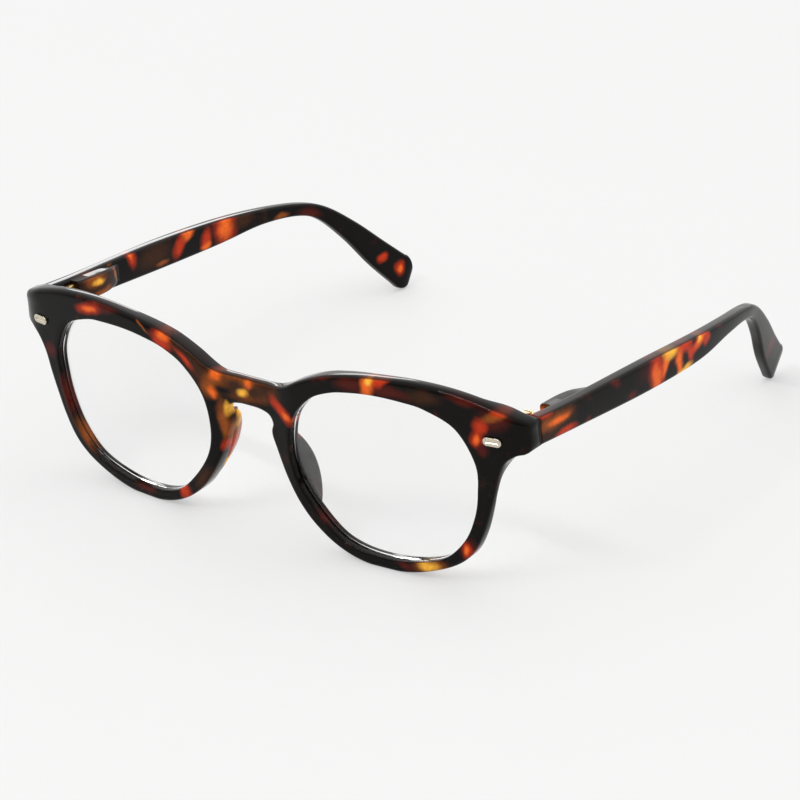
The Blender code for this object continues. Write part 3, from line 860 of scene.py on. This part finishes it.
def make_pad(word, finish, side):
    """A smooth crescent bonded to the rear of the rim beside the nose."""
    nasal = spline(OUTLINE[NASAL_ROWS], NASAL_STEPS)
    rings = []
    for k in range(PAD_STEPS + 1):
        share = k / PAD_STEPS
        z = PAD_HIGH + (PAD_LOW - PAD_HIGH) * share
        inner = outline_x(nasal, z) + PAD_IN
        swell = math.sin(math.pi * min(1.0 - PAD_BLUNT, max(PAD_BLUNT, share))) ** PAD_SWELL_POWER
        wide = PAD_WIDE[0] + PAD_WIDE[1] * swell
        deep = PAD_DEEP[0] + PAD_DEEP[1] * swell
        section = [(part * wide + lean * swell, depth * deep) for part, lean, depth in PAD_SECTION]
        ring = []
        for w, d in spline(section, PAD_SECTION_STEPS, closed=True):
            ring.append((inner + w, back_y(inner + w, z) + PAD_GAP + max(0.0, d), z))
        rings.append(ring)
    pad = loft("pad_" + word, rings, side)
    return finish_piece(pad, finish, "front", "nose_pad_" + word, sharp=50.0)


# Temples


def temple_stations():
    """Along the temple: its middle, its directions up and outward, half its height and thickness."""
    rows = spline(TEMPLE, TEMPLE_STEPS)
    stations = []
    for i, (y, z, outer_x, high, thick) in enumerate(rows):
        a, b = rows[max(0, i - 1)], rows[min(len(rows) - 1, i + 1)]
        along = Vector((b[2] - a[2], b[0] - a[0], b[1] - a[1])).normalized()
        if i == 0:
            along = Vector((0.0, 1.0, 0.0))
        up = Vector((0.0, -along.z, along.y)).normalized()
        sideways = along.cross(up)
        middle = Vector((outer_x, y + JOINT_Y + JOINT_GAP, z)) - sideways * thick / 2.0
        stations.append((middle, up, sideways, high / 2.0, thick / 2.0, along))
    return stations


def temple_body(name, side):
    """The arm, bevelled where it meets the end piece and rounded at its slanting tip."""
    rings = []
    stations = temple_stations()
    middle, up, sideways, high, thick, along = stations[-1]
    stations = stations[:-TIP_STATIONS]
    up = up - along * TIP_SKEW
    for a in quarter(TIP_STEPS):
        shrink = TIP_SHRINK * (1.0 - math.cos(a))
        forward = -TIP_LONG * (1.0 - math.sin(a))
        narrow = thick - TIP_NARROW * shrink
        stations.append((middle + along * forward, up, sideways, high - shrink, narrow, along))
    spot, top, way, tall, wide, back = stations[0]
    stations[0] = (spot, top, way, tall - TEMPLE_BEVEL, wide - TEMPLE_BEVEL, back)
    stations.insert(1, (spot + back * TEMPLE_BEVEL_LONG, top, way, tall, wide, back))
    for spot, up, sideways, high, thick, _ in stations:
        radius = min(TEMPLE_ROUND, TEMPLE_ROUND_MOST * thick)
        ring = [spot + sideways * w + up * h for w, h in rounded_section(thick, high, radius)]
        rings.append([(p.x, p.y, max(0.0, p.z)) for p in ring])
    return loft(name, rings, side)


def temple_boss(side):
    """The raised boss inside the temple, with its two inner edges rounded."""
    rings = []
    outer = SIDE_X - BOSS_SUNK
    r = BOSS_ROUND
    angles = quarter(BOSS_ROUND_STEPS)
    for y, proud, high in spline(BOSS, BOSS_STEPS):
        z = BOSS_Z - BOSS_FALL * (y - JOINT_Y) / BOSS_FALL_LONG
        inner = SIDE_X - TEMPLE_THICK - proud
        ring = [(outer, y, z - high), (outer, y, z + high)]
        for a in angles:
            ring.append((inner + r * (1.0 - math.sin(a)), y, z + high - r * (1.0 - math.cos(a))))
        for a in angles:
            ring.append((inner + r * (1.0 - math.cos(a)), y, z - high + r * (1.0 - math.sin(a))))
        rings.append(ring)
    return loft("boss", rings, side)


def make_temple(word, finish, side):
    temple = temple_body("arm_" + word, side)
    combine(temple, [temple_boss(side)], "UNION")
    g = POCKET_GAP
    low = (TEMPLE_LEAF_X[0] - g, TEMPLE_POCKET_FRONT, TEMPLE_LEAF_Z[0] - g)
    high = (TEMPLE_LEAF_X[1] + g, TEMPLE_LEAF_Y[1] + g, TEMPLE_LEAF_Z[1] + g)
    combine(temple, [plain_box("pocket", low, high, side)], "DIFFERENCE")
    return finish_piece(temple, finish, word + "_temple", "temple_" + word, sharp=38.0)


# Hinges


def knuckle(low, high, side):
    e = METAL_EDGE
    profile = ((BARREL_R - e, low), (BARREL_R, low + e), (BARREL_R, high - e), (BARREL_R - e, high))
    return turned("knuckle", PIN, profile, side)


def bore(low, high, side):
    profile = ((BORE_R, low - CUT_BEYOND), (BORE_R, high + CUT_BEYOND))
    return turned("bore", PIN, profile, side, SCREW_POINTS)


def leaf_box(name, x_range, y_range, z_range, side):
    low, high = zip(x_range, y_range, z_range)
    return plain_box(name, low, high, side, METAL_EDGE)


def make_front_hinge(word, finish, side):
    barrel = (BARREL_LOW, BARREL_TOP)
    leaf = leaf_box("barrel_front_" + word, FRONT_LEAF_X, FRONT_LEAF_Y, barrel, side)
    for low, high in FRONT_KNUCKLES:
        web = leaf_box("web", FRONT_WEB_X, (FRONT_WEB_FRONT, PIN[1]), (low, high), side)
        combine(leaf, [web, knuckle(low, high, side)], "UNION")
    combine(leaf, [bore(BARREL_LOW, BARREL_TOP, side)], "DIFFERENCE")
    return finish_piece(leaf, finish, "front", "front_hinge_" + word, sharp=28.0)


def make_temple_hinge(word, finish, side):
    leaf = leaf_box("barrel_temple_" + word, TEMPLE_LEAF_X, TEMPLE_LEAF_Y, TEMPLE_LEAF_Z, side)
    low, high = TEMPLE_KNUCKLE
    web = leaf_box("web", TEMPLE_WEB_X, (PIN[1], TEMPLE_WEB_BACK), TEMPLE_KNUCKLE, side)
    combine(leaf, [web, knuckle(low, high, side)], "UNION")
    combine(leaf, [bore(low, high, side)], "DIFFERENCE")
    return finish_piece(leaf, finish, word + "_temple", "temple_hinge_" + word, sharp=28.0)


def make_screw(word, finish, side):
    """A screw with a rounded, slotted head, its shank through the three knuckles."""
    bottom = BARREL_LOW + SCREW_SHORT
    low, high = BARREL_TOP + SCREW_HEAD_LOW, BARREL_TOP + SCREW_HEAD_HIGH
    e = METAL_EDGE
    inward, down = SCREW_HEAD_ROUND
    profile = [(SCREW_R - e, bottom), (SCREW_R, bottom + e), (SCREW_R, low)]
    profile += [(SCREW_HEAD_R, low + LEAST_EDGE), (SCREW_HEAD_R, high - down)]
    for a in quarter(HEAD_STEPS)[1:]:
        profile.append((SCREW_HEAD_R - inward * (1.0 - math.cos(a)), high - down + down * math.sin(a)))
    screw = turned("pin_screw_" + word, PIN, profile, side, SCREW_POINTS)
    x, y = PIN
    near = (x - SLIT_HALF_LONG, y - SLIT_HALF_WIDE, high - SLIT_DEEP)
    far = (x + SLIT_HALF_LONG, y + SLIT_HALF_WIDE, high + CUT_BEYOND)
    combine(screw, [plain_box("slit", near, far, side)], "DIFFERENCE")
    return finish_piece(screw, finish, "front", "hinge_screw_" + word, sharp=28.0)


# Materials


class Nodes:
    """A material's node tree, with short calls to add and link nodes."""

    def __init__(self, name):
        self.material = bpy.data.materials.new(name)
        self.material.use_nodes = True
        self.tree = self.material.node_tree
        self.shader = self.tree.nodes["Principled BSDF"]

    def add(self, kind, inputs=(), **settings):
        node = self.tree.nodes.new("ShaderNode" + kind)
        for key, value in settings.items():
            setattr(node, key, value)
        for key, value in dict(inputs).items():
            if isinstance(value, bpy.types.NodeSocket):
                self.tree.links.new(value, node.inputs[key])
            else:
                node.inputs[key].default_value = value
        return node

    def maths(self, operation, a, b=0.0):
        return self.add("Math", {0: a, 1: b}, operation=operation).outputs[0]

    def noise(self, vector, scale, detail=2.0, roughness=0.5):
        inputs = {"Vector": vector, "Scale": scale, "Detail": detail, "Roughness": roughness}
        return self.add("TexNoise", inputs)

    def ranged(self, value, low, high, to_low=0.0, to_high=1.0):
        inputs = {"Value": value, 1: low, 2: high, 3: to_low, 4: to_high}
        return self.add("MapRange", inputs, interpolation_type="SMOOTHSTEP").outputs[0]

    def mix(self, share, a, b, blend="MIX"):
        inputs = {0: share, 6: a, 7: b}
        return self.add("Mix", inputs, data_type="RGBA", blend_type=blend).outputs[2]

    def millimetres(self):
        place = self.add("TexCoord").outputs["Object"]
        inputs = {"Vector": place, "Location": (0.0, FRONT_TO_ORIGIN, 0.0), "Scale": (1.0 / MM,) * 3}
        return self.add("Mapping", inputs).outputs[0]

    def bump(self, height, strength, distance):
        inputs = {"Height": height, "Strength": strength, "Distance": distance}
        self.tree.links.new(self.add("Bump", inputs).outputs[0], self.shader.inputs["Normal"])

    def set(self, **values):
        for key, value in values.items():
            socket = self.shader.inputs[key.replace("_", " ")]
            if isinstance(value, bpy.types.NodeSocket):
                self.tree.links.new(value, socket)
            else:
                socket.default_value = value


def rgba(colour):
    return (*colour, 1.0)


def cloudy_shell(made, place, ground):
    """The shell between the patches: brown and maroon clouds in a ground colour."""
    cloud = made.noise(place, scale=0.13, detail=4.0, roughness=0.6).outputs[0]
    share = made.ranged(cloud, low=0.56, high=0.8, to_high=0.7)
    base = made.mix(share, rgba(ground), rgba(BROWN))
    glow = made.noise(place, scale=0.21, detail=3.0, roughness=0.65).outputs[0]
    return made.mix(made.ranged(glow, low=0.6, high=0.8, to_high=0.7), base, rgba(MAROON))


def wavering(made, place, along):
    """The place along this axis and up, shifted a little so that a patch's edge is uneven."""
    parts = made.add("SeparateXYZ", {0: place})
    wisps = made.noise(place, scale=0.26, detail=1.5, roughness=0.45).outputs["Color"]
    parted = made.add("SeparateXYZ", {0: wisps})
    shift_u = made.maths("MULTIPLY", made.maths("SUBTRACT", parted.outputs[0], 0.5), WAVER_ALONG)
    shift_v = made.maths("MULTIPLY", made.maths("SUBTRACT", parted.outputs[1], 0.5), WAVER_UP)
    u = made.maths("ADD", parts.outputs[along], shift_u)
    v = made.maths("ADD", parts.outputs["Z"], shift_v)
    return made.add("CombineXYZ", {0: u, 1: v}).outputs[0]


def tortoiseshell(name, patches, along, ground=DARK):
    """Polished shell: patches of red, amber and yellow in dark clouds. Along is X or Y."""
    made = Nodes(name)
    place = made.millimetres()
    base = cloudy_shell(made, place, ground)
    flat = wavering(made, place, along)
    # Painted shade: patches fade out on faces turned up, so the tops stay dark.
    facing = made.add("SeparateXYZ", {0: made.add("TexCoord").outputs["Normal"]}).outputs["Z"]
    painted_top_shade = made.ranged(facing, FACING_SIDE, FACING_UP, 1.0, PATCH_UNDER_TOP_SHADE)
    for at_u, at_v, half_u, half_v, turn, colour in patches:
        inputs = {
            "Vector": flat,
            "Location": (at_u, at_v, 0.0),
            "Rotation": (0.0, 0.0, math.radians(turn)),
            "Scale": (half_u, half_v, 1.0),
        }
        local = made.add("Mapping", inputs, vector_type="TEXTURE").outputs[0]
        away = made.add("VectorMath", {0: local}, operation="LENGTH").outputs["Value"]
        share = made.maths("MULTIPLY", made.ranged(away, PATCH_END, PATCH_FULL), painted_top_shade)
        base = made.mix(share, base, rgba(colour))
    mottle = made.noise(place, scale=1.1, detail=4.0, roughness=0.6).outputs[0]
    shade = made.ranged(mottle, low=0.3, high=0.72, to_low=0.84, to_high=1.1)
    tone = made.add("CombineColor", {0: shade, 1: shade, 2: shade}).outputs[0]
    made.set(Base_Color=made.mix(1.0, base, tone, "MULTIPLY"))
    polish = made.noise(place, scale=0.6, detail=3.0).outputs[0]
    made.set(Roughness=made.ranged(polish, low=0.3, high=0.7, to_low=0.02, to_high=0.045))
    made.set(IOR=1.45, Specular_IOR_Level=0.12)
    waves = made.noise(place, scale=0.4, detail=2.0).outputs[0]
    made.bump(waves, strength=0.06, distance=0.03 * MM)
    return made.material


def lens_material():
    """Clear acrylic with a faint warm coating."""
    made = Nodes("clear_lens")
    haze = made.noise(made.millimetres(), scale=0.05, detail=2.0).outputs[0]
    share = made.ranged(haze, low=0.3, high=0.7)
    made.set(Base_Color=made.mix(share, rgba(LENS_CLEAR), rgba(LENS_COATED)))
    made.set(Roughness=0.0, IOR=1.49, Transmission_Weight=1.0)
    return made.material


def metal(name, light, dark, rough, grain):
    """Plated or machined metal with fine tool marks, long along Y and close together up Z."""
    made = Nodes(name)
    scale = (grain, GRAIN_LONG * grain, GRAIN_CLOSE * grain)
    stretched = made.add("Mapping", {"Vector": made.millimetres(), "Scale": scale}).outputs[0]
    marks = made.noise(stretched, scale=1.0, detail=4.0, roughness=0.6).outputs[0]
    made.set(Base_Color=made.mix(made.ranged(marks, low=0.3, high=0.7), rgba(dark), rgba(light)))
    smoother, rougher = rough * (1.0 - METAL_UNEVEN), rough * (1.0 + METAL_UNEVEN)
    made.set(Roughness=made.ranged(marks, low=0.3, high=0.7, to_low=smoother, to_high=rougher))
    made.set(Metallic=1.0)
    made.bump(marks, strength=0.15, distance=0.02 * MM)
    return made.material


def floor_material():
    made = Nodes("pale_floor")
    grain = made.noise(made.millimetres(), scale=0.02, detail=2.0).outputs[0]
    lighter = tuple(FLOOR_LIGHTER * c for c in FLOOR_COLOUR)
    share = made.ranged(grain, low=0.3, high=0.7)
    made.set(Base_Color=made.mix(share, rgba(FLOOR_COLOUR), rgba(lighter)))
    made.set(Roughness=0.9, Specular_IOR_Level=0.0)
    made.set(Emission_Color=rgba(FLOOR_GLOW_COLOUR), Emission_Strength=FLOOR_GLOW)
    return made.material


# Scene


def make_floor():
    """A wide, level, pale floor just under the glasses."""
    bm = bmesh.new()
    corners = ((-1, -1), (1, -1), (1, 1), (-1, 1))
    bm.faces.new([bm.verts.new((x * FLOOR_HALF, y * FLOOR_HALF, 0.0)) for x, y in corners])
    bmesh.ops.subdivide_edges(bm, edges=bm.edges[:], cuts=FLOOR_CUTS, use_grid_fill=True)
    mesh = bpy.data.meshes.new("floor")
    bm.to_mesh(mesh)
    bm.free()
    floor = bpy.data.objects.new("floor", mesh)
    bpy.context.scene.collection.objects.link(floor)
    floor.location.z = -FLOOR_DROP
    mesh.materials.append(floor_material())


def area_light(name, at, aim, size, power):
    data = bpy.data.lights.new(name, "AREA")
    data.shape = "RECTANGLE"
    data.size, data.size_y = size
    data.energy = power
    light = bpy.data.objects.new(name, data)
    bpy.context.scene.collection.objects.link(light)
    light.location = at
    light.rotation_euler = (Vector(aim) - Vector(at)).to_track_quat("-Z", "Y").to_euler()


def make_sky():
    """Soft light from all round, brightest from above and behind."""
    world = bpy.data.worlds.new("studio")
    world.use_nodes = True
    bpy.context.scene.world = world
    tree = world.node_tree
    place = tree.nodes.new("ShaderNodeTexCoord")
    ranged = tree.nodes.new("ShaderNodeMapRange")
    lean = tree.nodes.new("ShaderNodeVectorMath")
    lean.operation = "DOT_PRODUCT"
    lean.inputs[1].default_value = SKY_TOWARDS
    tree.links.new(place.outputs["Generated"], lean.inputs[0])
    tree.links.new(lean.outputs["Value"], ranged.inputs["Value"])
    for key, value in zip((1, 2, 3, 4), (SKY_FROM, 1.0, SKY_LOW, SKY_HIGH)):
        ranged.inputs[key].default_value = value
    tree.links.new(ranged.outputs[0], tree.nodes["Background"].inputs["Strength"])
    tree.nodes["Background"].inputs["Color"].default_value = (1.0, 1.0, 1.0, 1.0)


def make_camera():
    data = bpy.data.cameras.new("camera")
    data.lens = CAMERA_LENS
    data.sensor_width = SENSOR
    camera = bpy.data.objects.new("camera", data)
    bpy.context.scene.collection.objects.link(camera)
    turn = Matrix((CAMERA_RIGHT, CAMERA_UP, CAMERA_BACK)).transposed().to_4x4()
    place = Vector(CAMERA_AT) - Vector((0.0, FRONT_TO_ORIGIN, 0.0))
    camera.matrix_world = Matrix.Translation(place * MM) @ turn
    bpy.context.scene.camera = camera


def build():
    shell = tortoiseshell("shell_front", FRONT_PATCHES, "X")
    silver = metal("champagne", *SILVER)
    brass = metal("brass_barrel", *BRASS)
    steel = metal("screw_metal", *STEEL)
    clear = lens_material()
    make_front(shell)
    temples = {"left": LEFT_PATCHES, "right": RIGHT_PATCHES}
    pads = {"left": (LEFT_PAD_PATCHES, DARK), "right": (RIGHT_PAD_PATCHES, BROWN)}
    for side, word in SIDES:
        make_plate(word, silver, side)
        make_lens(word, clear, side)
        make_pad(word, tortoiseshell("shell_pad_" + word, pads[word][0], "X", pads[word][1]), side)
        make_temple(word, tortoiseshell("shell_temple_" + word, temples[word], "Y"), side)
        make_front_hinge(word, brass, side)
        make_temple_hinge(word, brass, side)
        make_screw(word, steel, side)


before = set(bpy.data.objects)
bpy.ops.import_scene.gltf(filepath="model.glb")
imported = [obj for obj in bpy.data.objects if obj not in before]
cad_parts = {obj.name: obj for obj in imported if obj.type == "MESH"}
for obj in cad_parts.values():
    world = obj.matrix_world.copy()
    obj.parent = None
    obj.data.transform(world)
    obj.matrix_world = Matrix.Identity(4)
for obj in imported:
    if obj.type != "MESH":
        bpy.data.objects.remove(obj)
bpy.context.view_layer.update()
build()
make_floor()
make_sky()
for strip_name, settings in STRIPS.items():
    area_light(strip_name, *settings)
make_camera()
bpy.context.scene.view_settings.view_transform = "Standard"
